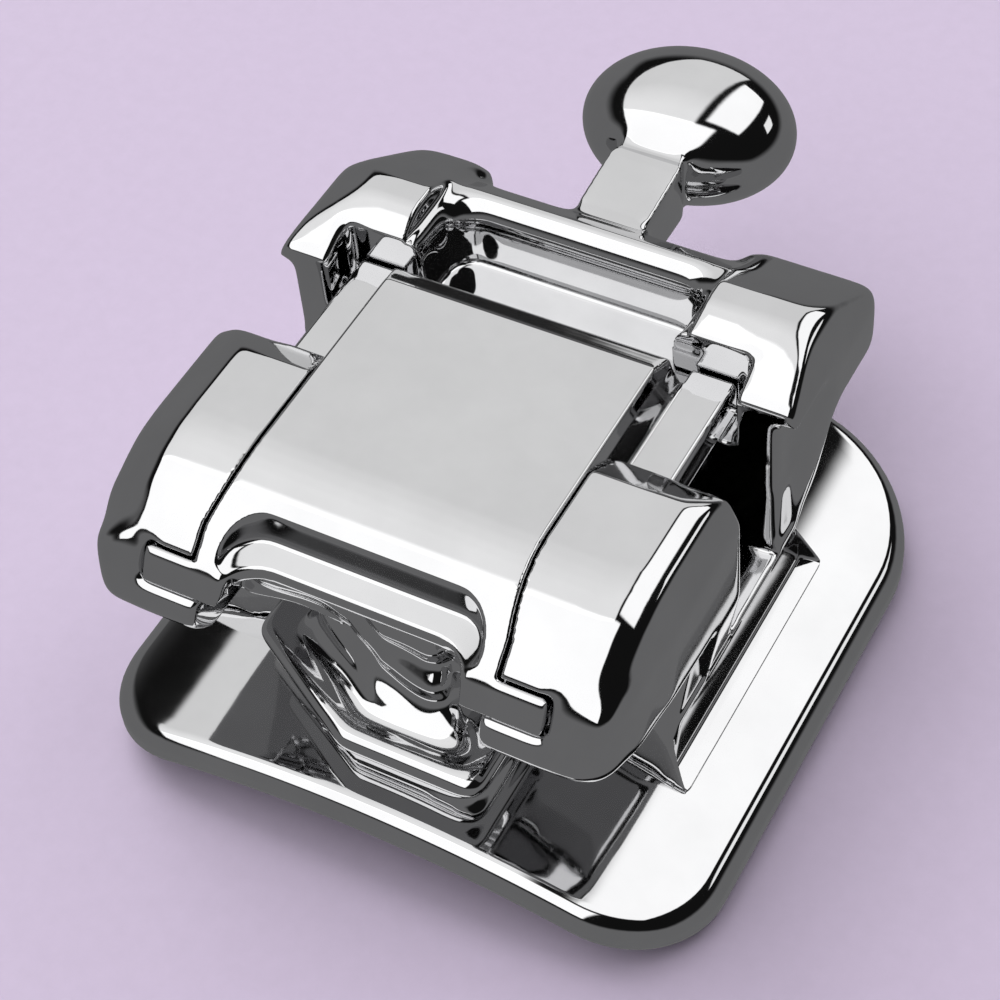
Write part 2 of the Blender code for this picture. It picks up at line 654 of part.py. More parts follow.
def rail_section(flange_top, flange_root, clear):
    """Half of the slide's cross-section, grown by a clearance and open above."""
    return [
        (0, DOOR_UNDER - clear, 0),
        (DOOR_FLANGE_HALF + clear, DOOR_UNDER - clear, 0),
        (DOOR_FLANGE_HALF + clear, flange_top + clear, 0),
        (flange_root + clear, flange_top + clear, 0),
    ]


def rail_channel(name, flange_top, front, cutters):
    """The dovetail channel that the slide runs in."""
    half = rail_section(flange_top, FLANGE_ROOT_HALF, RUN) + [
        (FLANGE_ROOT_HALF + RUN, FLANGE_TOP + 0.02 * MM, 0),
        (DOOR_PANEL_HALF + RUN, DOOR_TOP + RUN, 0),
        (DOOR_PANEL_HALF + RUN, UP, 0),
        (0, UP, 0),
    ]
    return prism(name, outline(both_sides(half)), "Y", front, 0.1 * MM, cutters)


def bracket_body(parts, cutters, steel):
    body = pedestal(cutters)
    body.name = "bracket_body"
    body.data.materials.append(steel)
    body.hide_render = False
    body.display_type = "TEXTURED"
    cutters.objects.unlink(body)
    parts.objects.link(body)
    boolean(body, low_wings(cutters), "UNION")
    boolean(body, up_wings(cutters), "UNION")
    wide = (-UP, UP)
    tool_gap = box("tool_gap", (-TOOL_GAP_HALF, TOOL_GAP_HALF), (-UP, TOOL_GAP_Y), (0, UP), cutters)
    boolean(body, tool_gap, "DIFFERENCE")
    boolean(body, boss(cutters), "UNION")
    boolean(body, ball_hook(cutters), "UNION")
    slot = box("archwire_slot", wide, (SLOT_LOW_WALL, SLOT_GUM_WALL), (SLOT_FLOOR, UP), cutters)
    boolean(body, slot, "DIFFERENCE")
    boolean(body, rail_channel("rail_channel", FLANGE_FRONT_TOP, -UP, cutters), "DIFFERENCE")
    flange_room = FLANGE_STEP_Y - DOOR_TRAVEL - 2 * RUN
    boolean(body, rail_channel("flange_channel", FLANGE_TOP, flange_room, cutters), "DIFFERENCE")
    seat = box(
        "door_seat",
        (-SEAT_HALF, SEAT_HALF),
        (SLOT_GUM_WALL - 0.1 * MM, DOOR_FLANGE_END + RUN),
        (RAIL_FLOOR, UP),
        cutters,
    )
    boolean(body, seat, "DIFFERENCE")
    pocket = rectangle(-POCKET_HALF, POCKET_HALF, POCKET_FRONT, POCKET_BACK, POCKET_RADIUS)
    boolean(body, prism("pocket", pocket, "Z", POCKET_FLOOR, UP, cutters), "DIFFERENCE")
    rings = []
    for k in range(7):
        angle = math.pi / 2 * k / 6
        grown = POCKET_RIM_RADIUS * (1 - math.cos(angle)) + 0.001 * MM
        half = POCKET_HALF + 0.37 * grown
        points = rectangle(-half, half, POCKET_FRONT, POCKET_BACK + grown, POCKET_RADIUS)
        height = BRIDGE_TOP - POCKET_RIM_RADIUS * (1 - math.sin(angle))
        rings.append([(x, y, height) for x, y in points])
    rings.append([(x, y, UP) for x, y in points])
    boolean(body, loft("pocket_rim", rings, cutters), "DIFFERENCE")
    notch = box(
        "foot_notch",
        (-FOOT_HALF - RUN, FOOT_HALF + RUN),
        (-UP, FOOT_SHOULDER + RUN),
        (DOOR_UNDER - FOOT_DROP - RUN, UP),
        cutters,
    )
    boolean(body, notch, "DIFFERENCE")
    trough_half = SPRING_RADIUS + SPRING_SIDE_GAP
    trough = box(
        "spring_trough",
        (-SPRING_LENGTH / 2 - SPRING_SIDE_GAP, SPRING_LENGTH / 2 + SPRING_SIDE_GAP),
        (SPRING_Y - trough_half, SPRING_Y + trough_half),
        (SPRING_BOTTOM - SPRING_SEAT, RAIL_FLOOR + 0.05 * MM),
        cutters,
    )
    boolean(body, trough, "DIFFERENCE")
    boolean(body, pad_bed(cutters), "DIFFERENCE")
    return body


def slide_door(parts, cutters, steel):
    """The slide: its cross-section run along Y, cut by its side profile, then the feet, U-cut and detents."""
    section = both_sides(
        [
            (0, DOOR_UNDER, 0),
            (DOOR_FLANGE_HALF, DOOR_UNDER, 0),
            (DOOR_FLANGE_HALF, FLANGE_TOP, 0.03 * MM),
            (DOOR_PANEL_FOOT_HALF, FLANGE_TOP, 0.02 * MM),
            (DOOR_PANEL_HALF, DOOR_TOP + 0.02 * MM, 0),
            (0, DOOR_TOP + 0.02 * MM, 0),
        ]
    )
    door = prism("slide_door", outline(section), "Y", DOOR_FRONT + 0.05 * MM, DOOR_FLANGE_END, parts, steel)
    for side in (-1, 1):
        outer, inner = side * UP, side * FLANGE_ROOT_HALF
        step = box(
            f"flange_step_{side}",
            (min(outer, inner), max(outer, inner)),
            (-UP, FLANGE_STEP_Y),
            (FLANGE_FRONT_TOP, UP),
            cutters,
        )
        boolean(door, step, "DIFFERENCE")
    feet = box(
        "door_feet",
        (-FOOT_HALF, FOOT_HALF),
        (DOOR_FRONT, FOOT_SHOULDER),
        (DOOR_UNDER - FOOT_DROP, DOOR_TOP - 0.05 * MM),
        cutters,
    )
    boolean(door, feet, "UNION")
    profile = outline(
        [
            (UP, DOOR_UNDER - FOOT_DROP - 0.1 * MM, 0),
            (UP, DOOR_TOP, 0),
            (DOOR_NOSE_CORNER, DOOR_TOP, DOOR_NOSE_RADIUS),
            (NOSE_BREAK_Y, nose_height(NOSE_BREAK_Y), 0.05 * MM),
            (NOSE_FOOT_Y, NOSE_FOOT_Z, 0),
        ]
    )
    boolean(door, prism("door_profile", profile, "X", -UP, UP, cutters), "INTERSECT")
    bevel = DOOR_PANEL_END - 0.02 * MM - DOOR_END_BEVEL
    end = outline(
        [
            (bevel, UP, 0),
            (bevel, DOOR_TOP, 0),
            (bevel + DOOR_END_BEVEL, DOOR_TOP - DOOR_END_BEVEL_DROP, 0),
            (DOOR_PANEL_END, FLANGE_TOP, 0),
            (UP, FLANGE_TOP, 0),
            (UP, UP, 0),
        ]
    )
    boolean(door, prism("panel_end", end, "X", -UP, UP, cutters), "DIFFERENCE")
    rings = []
    for inset, z in (
        (U_CUT_LEDGE, 0),
        (U_CUT_LEDGE, DOOR_UNDER + U_CUT_LEDGE_LOW),
        (0, DOOR_UNDER + U_CUT_LEDGE_TOP),
        (0, UP),
    ):
        half = U_CUT_HALF - inset / 3
        points = rectangle(-half, half, -UP, U_CUT_Y - inset, U_CUT_RADIUS)
        rings.append([(x, y, z) for x, y in points])
    boolean(door, loft("u_cut", rings, cutters), "DIFFERENCE")
    tips = box("tip_gap", (-DOOR_PANEL_FOOT_HALF, DOOR_PANEL_FOOT_HALF), (0.46 * MM, UP), (0, UP), cutters)
    boolean(door, tips, "DIFFERENCE")
    for at, name in ((SPRING_Y, "detent_closed"), (SPRING_Y + DOOR_TRAVEL, "detent_open")):
        bm = bmesh.new()
        centre = DOOR_UNDER - DETENT_RADIUS + DETENT_DEPTH
        turn = Matrix.Translation((0, at, centre)) @ Matrix.Rotation(math.pi / 2, 4, "Y")
        bmesh.ops.create_cone(
            bm,
            cap_ends=True,
            segments=24,
            radius1=DETENT_RADIUS,
            radius2=DETENT_RADIUS,
            depth=SPRING_LENGTH + 2 * SPRING_SIDE_GAP,
            matrix=turn,
        )
        boolean(door, new_object(name, bm, cutters), "DIFFERENCE")
    return door


def retaining_spring(parts, nitinol):
    """The split tube, open at the bottom."""
    points = []
    gap = SPRING_SPLIT / 2
    steps = 20
    inner = SPRING_RADIUS - SPRING_WALL
    angles = [-math.pi / 2 + gap + (2 * math.pi - 2 * gap) * k / steps for k in range(steps + 1)]
    points += [(math.cos(a) * SPRING_RADIUS, math.sin(a) * SPRING_RADIUS) for a in angles]
    points += [(math.cos(a) * inner, math.sin(a) * inner) for a in reversed(angles)]
    placed = [(SPRING_Y + y, SPRING_Z + z) for y, z in points]
    return prism("retaining_spring", placed, "X", -SPRING_LENGTH / 2, SPRING_LENGTH / 2, parts, nitinol)


def main():
    clear_scene()
    parts = collection("orthodontic_bracket")
    cutters = collection("cutters")
    steel = material("polished_steel", (0.62, 0.63, 0.64), 0.08)
    nitinol = material("nickel_titanium", (0.55, 0.55, 0.56), 0.2)
    bonding_pad(parts, steel)
    retention_mesh(parts, cutters, steel)
    bracket_body(parts, cutters, steel)
    slide_door(parts, cutters, steel)
    retaining_spring(parts, nitinol)
    pieces = list(bpy.data.objects)
    origin = bpy.data.objects.new("bracket_origin", None)
    parts.objects.link(origin)
    front, back = PAD_MIDDLE_Y - PAD_LENGTH / 2, HEAD_Y + HEAD_HALF_LENGTH
    origin.location = (-PAD_OFFSET_X, -(front + back) / 2, 0)
    for piece in pieces:
        piece.parent = origin


main()
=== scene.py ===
"""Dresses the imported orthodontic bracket: polished pieces, a woven retention mesh and a small studio."""

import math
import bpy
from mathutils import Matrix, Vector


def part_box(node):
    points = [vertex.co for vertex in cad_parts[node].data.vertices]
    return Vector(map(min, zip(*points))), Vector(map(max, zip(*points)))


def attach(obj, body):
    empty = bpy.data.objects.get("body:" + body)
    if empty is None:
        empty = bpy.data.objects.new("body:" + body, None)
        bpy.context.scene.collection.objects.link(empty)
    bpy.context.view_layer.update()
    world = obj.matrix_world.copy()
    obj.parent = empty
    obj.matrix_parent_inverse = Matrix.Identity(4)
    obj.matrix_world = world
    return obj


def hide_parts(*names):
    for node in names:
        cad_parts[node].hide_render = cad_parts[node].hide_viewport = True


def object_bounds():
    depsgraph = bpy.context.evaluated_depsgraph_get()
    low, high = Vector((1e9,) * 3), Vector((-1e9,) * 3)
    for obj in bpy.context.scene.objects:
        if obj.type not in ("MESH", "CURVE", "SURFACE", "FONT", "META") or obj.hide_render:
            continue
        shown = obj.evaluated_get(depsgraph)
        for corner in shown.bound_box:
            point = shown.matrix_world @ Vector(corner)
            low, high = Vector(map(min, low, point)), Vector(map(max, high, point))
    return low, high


bl_info = {
    "name": "Orthodontic bracket",
    "version": (1, 0, 0),
    "blender": (4, 5, 0),
    "location": "3D View > Sidebar > Bracket",
    "description": "Polishes the packed bracket, weaves its retention mesh and sets the studio",
    "category": "Object",
}

import bmesh
import bpy
import numpy as np
from mathutils import Matrix, Vector

MM = 0.001
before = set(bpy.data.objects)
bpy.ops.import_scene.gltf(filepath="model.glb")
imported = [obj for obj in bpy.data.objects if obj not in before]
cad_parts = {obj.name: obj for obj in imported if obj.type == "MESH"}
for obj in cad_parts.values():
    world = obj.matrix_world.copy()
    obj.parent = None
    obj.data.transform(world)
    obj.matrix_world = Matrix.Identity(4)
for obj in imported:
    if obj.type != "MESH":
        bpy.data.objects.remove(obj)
CAD_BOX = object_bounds()
PAD_LOW, PAD_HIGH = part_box("bonding_pad")
# The middle of the slot's wall, about which the bracket is drawn
DRAWN = Vector(((PAD_LOW.x + PAD_HIGH.x) / 2 - 0.17 * MM, CAD_BOX[0][1] + 1.84 * MM, 0))
MESH_LOW, MESH_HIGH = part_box("retention_mesh")


def linear(hex_value):
    """An sRGB hex value such as 8fa3b1 as linear red, green and blue."""
    parts = [int(hex_value[i : i + 2], 16) / 255 for i in (0, 2, 4)]
    return tuple(c / 12.92 if c <= 0.04045 else ((c + 0.055) / 1.055) ** 2.4 for c in parts)


def add_node(tree, kind, values=None, **settings):
    """A node with its settings; a value is a number, a colour or the output that feeds the socket."""
    made = tree.nodes.new(kind)
    for name, value in settings.items():
        setattr(made, name, value)
    for key, value in (values or {}).items():
        socket = made.inputs[key]
        if isinstance(value, bpy.types.NodeSocket):
            tree.links.new(value, socket)
        else:
            socket.default_value = value
    return made


def length(name, description, default, **limits):
    """A size in metres for the sidebar."""
    return bpy.props.FloatProperty(
        name=name, description=description, default=default, unit="LENGTH", precision=6, **limits
    )


def colour(name, description, hex_value):
    return bpy.props.FloatVectorProperty(
        name=name, description=description, default=linear(hex_value), size=3, subtype="COLOR", min=0, max=1
    )


class PolishSettings(bpy.types.PropertyGroup):
    """Finish of the machined and moulded steel."""

    cell: length("Grain of the mesh", "Spacing of the points laid over the body and the slide", 0.0085 * MM)
    wing_rounding: length("Rounding, wings", "How far tumbling rounds the outer edges", 0.085 * MM)
    fit_rounding: length("Rounding, fits", "How far it rounds the edges that the slide runs along", 0.014 * MM)
    body_faces: bpy.props.IntProperty(
        name="Body faces", description="Most triangles that the body keeps", default=180000, min=10000, max=199000
    )
    door_faces: bpy.props.IntProperty(
        name="Slide faces", description="Most triangles that the slide keeps", default=90000, min=10000, max=199000
    )
    steel: colour("Polished steel", "Mirror-polished 17-4 PH stainless steel", "e0e0e1")
    steel_roughness: bpy.props.FloatProperty(
        name="Roughness", description="How far the polish blurs a reflection", default=0.045, min=0, max=1, subtype="FACTOR"
    )
    nitinol: colour("Nickel titanium", "Drawn nickel-titanium spring under its thin oxide", "b3aea6")


class PadSettings(bpy.types.PropertyGroup):
    """Bonding base: a foil pad bent to the tooth."""

    width: length("Width", "Along the arch", PAD_HIGH.x - PAD_LOW.x)
    depth: length("Length", "Along the tooth", PAD_HIGH.y - PAD_LOW.y)
    thickness: length("Thickness", "Of the foil", 0.20 * MM)
    tooth_radius: length("Tooth radius", "Curve of the tooth's face", 5.65 * MM)
    front_radius: length("Front corners", "Radius in plan", 0.55 * MM)
    back_radius: length("Back corners", "Radius in plan", 0.85 * MM)
    edge_width: length("Edge, width", "How far in from the edge the foil starts to roll over", 0.105 * MM)
    edge_fall: length("Edge, fall", "How far the rolled edge drops", 0.09 * MM)
    edge_radius: length("Lower edge", "Radius of the foil's lower edge", 0.06 * MM)


class MeshSettings(bpy.types.PropertyGroup):
    """Woven retention mesh under the pad."""

    pitch: length("Pitch", "Wire to wire, 80 openings to the inch", 0.3175 * MM)
    wire: length("Wire", "Diameter of one wire", 0.050 * MM)
    edge_gap: length("Edge gap", "From the pad's edge to the mesh", 0.19 * MM)
    steel: colour("Mesh steel", "Plain drawn stainless wire", "a9a9ab")


class StudioSettings(bpy.types.PropertyGroup):
    """Camera, softboxes and floor."""

    azimuth: bpy.props.FloatProperty(
        name="Azimuth", description="Round the bracket from its front", default=math.radians(32.972), subtype="ANGLE"
    )
    elevation: bpy.props.FloatProperty(
        name="Elevation", description="Over the floor", default=math.radians(49.154), subtype="ANGLE"
    )
    roll: bpy.props.FloatProperty(
        name="Roll", description="Tilt of the photograph's frame", default=math.radians(-6.119), subtype="ANGLE"
    )
    field: bpy.props.FloatProperty(
        name="Field of view", description="Across the square frame", default=2 * math.atan(500 / 2603.3), subtype="ANGLE"
    )
    distance: length("Distance", "Camera to the point it turns about", 13.528 * MM)
    aim_right: length("Aim, right", "Shift of the camera to its right", -0.020 * MM)
    aim_up: length("Aim, up", "Shift of the camera upwards", 0.1244 * MM)
    turn_height: length("Turning height", "Height of the point that the camera turns about", 0.59 * MM)
    paper: colour("Paper", "Pale matt paper under the bracket", "dccde6")
    surroundings: colour("Surroundings", "Dark grey room below and around the set", "6f6f70")


def place(name, mesh, body, node, material):
    """Links a finished mesh as the piece that stands for a CAD node."""
    piece = bpy.data.objects.new(name, mesh)
    bpy.context.scene.collection.objects.link(piece)
    mesh.materials.clear()
    mesh.materials.append(material)
    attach(piece, body)
    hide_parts(node)
    return piece


def steel_finish(name, hex_colour, roughness, waviness, grit):
    """Metal whose roughness and surface wander a little: waviness and grit are heights in metres."""
    made = bpy.data.materials.new(name)
    made.use_nodes = True
    tree = made.node_tree
    shader = tree.nodes["Principled BSDF"]
    shader.inputs["Base Color"].default_value = (*hex_colour, 1)
    shader.inputs["Metallic"].default_value = 1
    where = add_node(tree, "ShaderNodeTexCoord").outputs["Object"]
    # Handling marks: soft patches about 0.4 mm across, where the polish is a little duller
    patches = add_node(tree, "ShaderNodeTexNoise", {"Vector": where, "Scale": 2500, "Detail": 3, "Roughness": 0.6})
    dull = add_node(
        tree,
        "ShaderNodeMapRange",
        {"Value": patches.outputs["Fac"], "From Min": 0.35, "From Max": 0.75, "To Min": roughness * 0.8, "To Max": roughness * 1.5},
    )
    tree.links.new(dull.outputs["Result"], shader.inputs["Roughness"])
    tone = add_node(
        tree,
        "ShaderNodeMapRange",
        {"Value": patches.outputs["Fac"], "From Min": 0.3, "From Max": 0.7, "To Min": 0.94, "To Max": 1.0},
    )
    shade = add_node(
        tree,
        "ShaderNodeMix",
        {"Factor": 1.0, "A": (*hex_colour, 1), "B": tone.outputs["Result"]},
        data_type="RGBA",
        blend_type="MULTIPLY",
    )
    tree.links.new(shade.outputs["Result"], shader.inputs["Base Color"])
    # Polishing leaves a long shallow wave; drawing and sintering leave a fine grain
    wave = add_node(tree, "ShaderNodeTexNoise", {"Vector": where, "Scale": 3500, "Detail": 1})
    wave_bump = add_node(tree, "ShaderNodeBump", {"Strength": 1.0, "Distance": waviness, "Height": wave.outputs["Fac"]})
    grain = add_node(tree, "ShaderNodeTexNoise", {"Vector": where, "Scale": 40000, "Detail": 2})
    grain_bump = add_node(
        tree,
        "ShaderNodeBump",
        {"Strength": 1.0, "Distance": grit, "Height": grain.outputs["Fac"], "Normal": wave_bump.outputs["Normal"]},
    )
    tree.links.new(grain_bump.outputs["Normal"], shader.inputs["Normal"])
    return made


def evaluated(holder):
    """The holder's mesh with its modifiers applied, as plain data."""
    bpy.context.view_layer.update()
    mesh = bpy.data.meshes.new_from_object(holder.evaluated_get(bpy.context.evaluated_depsgraph_get()))
    holder.modifiers.clear()
    return mesh


def step(value, low, high):
    """0 below low, 1 above high, and a smooth rise between."""
    share = np.clip((value - low) / (high - low), 0, 1)
    return share * share * (3 - 2 * share)


def body_forms(x, y, z):
    """The body's points after hand finishing: a waisted neck, a hollowed foot and folds flowed over the boss."""
    waist = 1 - 0.13 * np.exp(-(((y - 1.80) / 0.035) ** 2)) * step(-np.abs(x), -0.30, -0.24)
    x, z = x * waist, 1.51 + (z - 1.51) * waist
    slope = np.interp(z, (0.335, 0.67), (1.565, 1.385))
    hollow = np.interp(z, (0.335, 0.365, 0.38, 0.67), (1.565, 1.43, 1.405, 1.396))
    side = step(x - slope, -0.03, -0.01) * step(y, -1.1, -1.0) * step(-y, -0.66, -0.60) * (z < 0.67)
    x = x + (hollow - slope) * side
    face = step(-y, 0.8, 0.95) * step(-np.abs(x), -0.80, -0.70) * step(z, 0.80, 0.88) * step(-z, -1.34, -1.24)
    fold = np.sin(2 * math.pi * (z + 0.22 * x + 0.03 * np.sin(7 * x)) / 0.21) + 0.6 * np.sin(11 * x - 9 * z)
    y = y - 0.020 * fold * face
    corner = step(-y, 1.0, 1.3) * step(-z, -1.60, -1.50) * step(np.abs(x), 1.15, 1.3)
    x = x + 0.022 * np.sign(x) * corner
    return x, y, z


def door_forms(x, y, z):
    """The slide's points, with a gentler bevel on the rear edge."""
    bevel = np.interp(y, (0.328, 0.455), (0.0, 0.019)) * (z > 1.69)
    return x, y, z + bevel


def body_rounding(x, y, z):
    """Share of the rounding at each point of the body: crisp in the fits, soft on the outer forms."""
    soft = np.maximum(step(x, 1.02, 1.18) * 0.52, step(-x, 0.98, 1.12) * 0.65)
    soft = np.maximum(soft, step(y, 1.05, 1.2) * 0.8)
    soft = np.maximum(soft, step(y, 0.5, 0.7) * step(np.abs(x), 1.0, 1.12) * 0.8)
    nose = step(-y, 1.2, 1.4) * step(-z, -1.62, -1.5) * step(np.abs(x), 1.02, 1.15)
    soft = np.maximum(soft, nose)
    soft = np.maximum(soft, step(-y, 1.45, 1.6) * 0.7)
    boss = step(-y, 0.5, 0.7) * step(-z, -1.02, -0.98) * step(-np.abs(x), -0.95, -0.9)
    soft = np.maximum(soft, boss * 0.6)
    pocket = step(y, 0.60, 0.72) * step(-np.abs(x), -0.86, -0.78)
    soft = np.maximum(soft, pocket * 0.4)
    stem = step(y, 1.30, 1.38) * step(-y, -1.86, -1.80) * step(-np.abs(x), -0.30, -0.26)
    soft = soft * (1 - 0.8 * stem)
    foot = step(x, 1.34, 1.38) * step(-z, -0.75, -0.7) * step(-y, -0.8, -0.7)
    return soft * (1 - 0.8 * foot)


def door_rounding(x, y, z):
    """Share of the rounding at each point of the slide: a little round the tool's opening, crisp along the rails."""
    opening = step(-y, 1.0, 1.15) * step(-np.abs(x), -0.80, -0.72)
    return np.maximum(opening * 0.12, step(-y, 1.45, 1.5) * 0.33)


def polished_copy(node, cell, forms, rounding, limits, most):
    """A dense copy of a CAD node with its edges rounded, as tumbling and polishing leave them."""
    bm = bmesh.new()
    bm.from_mesh(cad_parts[node].data)
    bmesh.ops.remove_doubles(bm, verts=bm.verts, dist=0.0005 * MM)
    # Millimetres while the modifiers work, because their smallest cell is a tenth of a millimetre in metres
    bmesh.ops.scale(bm, vec=(1000, 1000, 1000), verts=bm.verts)
    rough = bpy.data.meshes.new(node + "_rough")
    bm.to_mesh(rough)
    bm.free()
    holder = bpy.data.objects.new(node + "_rough", rough)
    bpy.context.scene.collection.objects.link(holder)
    remesh = holder.modifiers.new("cells", "REMESH")
    remesh.mode = "VOXEL"
    remesh.voxel_size = cell * 1000
    dense = evaluated(holder)
    holder.data = dense
    places = np.empty(len(dense.vertices) * 3, dtype=np.float32)
    dense.vertices.foreach_get("co", places)
    drawn = np.array(DRAWN) * 1000
    x, y, z = (places.reshape(-1, 3) - drawn).T
    x, y, z = forms(x, y, z)
    dense.vertices.foreach_set("co", (np.stack((x, y, z), axis=1) + drawn).astype(np.float32).ravel())
    dense.update()
    wings, fits = (limit * 1000 for limit in limits)
    radii = fits + (wings - fits) * rounding(x, y, z)
    passes = math.ceil(4 * (wings / (cell * 1000)) ** 2)
    soft = holder.vertex_groups.new(name="rounding")
    levels = np.ceil((radii / wings) ** 2 * 96).astype(int)
    for level in range(1, 97):
        chosen = np.nonzero(levels == level)[0]
        if len(chosen):
            soft.add(chosen.tolist(), level / 96, "REPLACE")
    smooth = holder.modifiers.new("rounding", "SMOOTH")
    smooth.factor = 0.5
    smooth.iterations = passes
    smooth.vertex_group = "rounding"
    settle = holder.modifiers.new("settle", "SMOOTH")
    settle.factor = 0.5
    settle.iterations = 4
    fine = evaluated(holder)
    fine.shade_smooth()
    source = bpy.data.objects.new(node + "_fine", fine)
    bpy.context.scene.collection.objects.link(source)
    holder.data = fine.copy()
    if 2 * len(fine.polygons) > most:
        thin = holder.modifiers.new("thinning", "DECIMATE")
        thin.ratio = most / (2 * len(fine.polygons))
    normals = holder.modifiers.new("normals", "DATA_TRANSFER")
    normals.object = source
    normals.use_loop_data = True
    normals.data_types_loops = {"CUSTOM_NORMAL"}
    normals.loop_mapping = "POLYINTERP_NEAREST"
    mesh = evaluated(holder)
    for item in (holder, source):
        bpy.data.objects.remove(item)
    mesh.transform(Matrix.Scale(MM, 4))
    return mesh


class BRACKET_OT_polish_body(bpy.types.Operator):
    """Polish the one-piece body with its wings, boss and ball hook"""

    bl_idname = "bracket.polish_body"
    bl_label = "Polish the body"

    def execute(self, context):
        size = context.scene.bracket_polish
        limits = (size.wing_rounding, size.fit_rounding)
        mesh = polished_copy("bracket_body", size.cell, body_forms, body_rounding, limits, size.body_faces)
        mesh.name = "polished_body"
        place("polished_body", mesh, "bracket", "bracket_body", polished_steel(context))
        return {"FINISHED"}


class BRACKET_OT_polish_door(bpy.types.Operator):
    """Polish the sliding door"""

    bl_idname = "bracket.polish_door"
    bl_label = "Polish the door"

    def execute(self, context):
        size = context.scene.bracket_polish
        limits = (size.wing_rounding, size.fit_rounding)
        mesh = polished_copy("slide_door", size.cell * 0.85, door_forms, door_rounding, limits, size.door_faces)
        mesh.name = "polished_door"
        place("polished_door", mesh, "door", "slide_door", polished_steel(context))
        return {"FINISHED"}


def polished_steel(context):
    """Sintered 17-4 PH stainless steel, tumbled and electropolished: a clear mirror with the faintest ripple."""
    found = bpy.data.materials.get("electropolished_stainless_steel")
    if found:
        return found
    size = context.scene.bracket_polish
    return steel_finish("electropolished_stainless_steel", size.steel, size.steel_roughness, 0.00035 * MM, 0.000004 * MM)


class BRACKET_OT_finish_spring(bpy.types.Operator):
    """Give the retaining spring its nickel-titanium finish"""

    bl_idname = "bracket.finish_spring"
    bl_label = "Finish the spring"

    def execute(self, context):
        size = context.scene.bracket_polish
        # Drawn tube, bright but warmer and duller than the steel, with a fine drawn grain
        finish = steel_finish("drawn_nickel_titanium", size.nitinol, 0.22, 0.0002 * MM, 0.00003 * MM)
        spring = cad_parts["retaining_spring"]
        spring.data.materials.clear()
        spring.data.materials.append(finish)
        return {"FINISHED"}


def sag(radius, x):
    """How far the tooth's curve falls away at x."""
    return radius - math.sqrt(radius**2 - x**2)


def pad_outline(width, depth, front, back, inset, steps, chord):
    """Points round the pad's plan with a constant count, whatever the inset."""
    x, y = width / 2 - inset, depth / 2 - inset
    corners = [(-1, -1, front), (1, -1, front), (1, 1, back), (-1, 1, back)]
    points = []
    for i, (sx, sy, full) in enumerate(corners):
        radius = full - inset
        centre = Vector((sx * (x - radius), sy * (y - radius)))
        start = math.pi + i * math.pi / 2
        arc = [
            centre + radius * Vector((math.cos(start + math.pi / 2 * k / steps), math.sin(start + math.pi / 2 * k / steps)))
            for k in range(steps + 1)
        ]
        points += arc
        nx, ny, following = corners[(i + 1) % 4]
        radius = following - inset
        centre = Vector((nx * (x - radius), ny * (y - radius)))
        begin = math.pi + (i + 1) * math.pi / 2
        goal = centre + radius * Vector((math.cos(begin), math.sin(begin)))
        points += [arc[-1].lerp(goal, k / chord) for k in range(1, chord)]
    return points


class BRACKET_OT_bend_pad(bpy.types.Operator):
    """Make the bonding pad: a foil with rolled edges, bent to the tooth"""

    bl_idname = "bracket.bend_pad"
    bl_label = "Bend the pad"

    def execute(self, context):
        pad = context.scene.bracket_pad
        middle = Vector(((PAD_LOW.x + PAD_HIGH.x) / 2, (PAD_LOW.y + PAD_HIGH.y) / 2))
        turns = [math.pi / 2 * k / 16 for k in range(17)]
        levels = [(1, pad.edge_width * (1 - math.sin(a)), -pad.edge_fall * (1 - math.cos(a))) for a in turns]
        rim = pad.edge_radius
        lower = [(1, rim * (1 - math.sin(a)), rim * (1 - math.cos(a)) - pad.thickness) for a in reversed(turns)]
        shares = [1 - 0.97 * (k / 44) ** 0.9 for k in range(44, 0, -1)]
        crown = [(share, pad.edge_width, 0) for share in shares]
        base = [(share, rim, -pad.thickness) for share in reversed(shares)]
        bm = bmesh.new()
        rows = []
        for share, inset, z in crown + levels + lower + base:
            ring = pad_outline(pad.width, pad.depth, pad.front_radius, pad.back_radius, inset, 18, 26)
            row = []
            for point in ring:
                x, y = point * share
                height = PAD_HIGH.z + z - sag(pad.tooth_radius, x)
                row.append(bm.verts.new((x + middle.x, y + middle.y, height)))
            rows.append(row)
        count = len(rows[0])
        for upper, under in zip(rows, rows[1:]):
            for i in range(count):
                bm.faces.new((upper[i], under[i], under[(i + 1) % count], upper[(i + 1) % count]))
        bm.faces.new(list(reversed(rows[0])))
        bm.faces.new(rows[-1])
        bmesh.ops.recalc_face_normals(bm, faces=bm.faces)
        mesh = bpy.data.meshes.new("bonding_foil")
        bm.to_mesh(mesh)
        bm.free()
        mesh.shade_smooth()
        place("bonding_foil", mesh, "bracket", "bonding_pad", polished_steel(context))
        return {"FINISHED"}


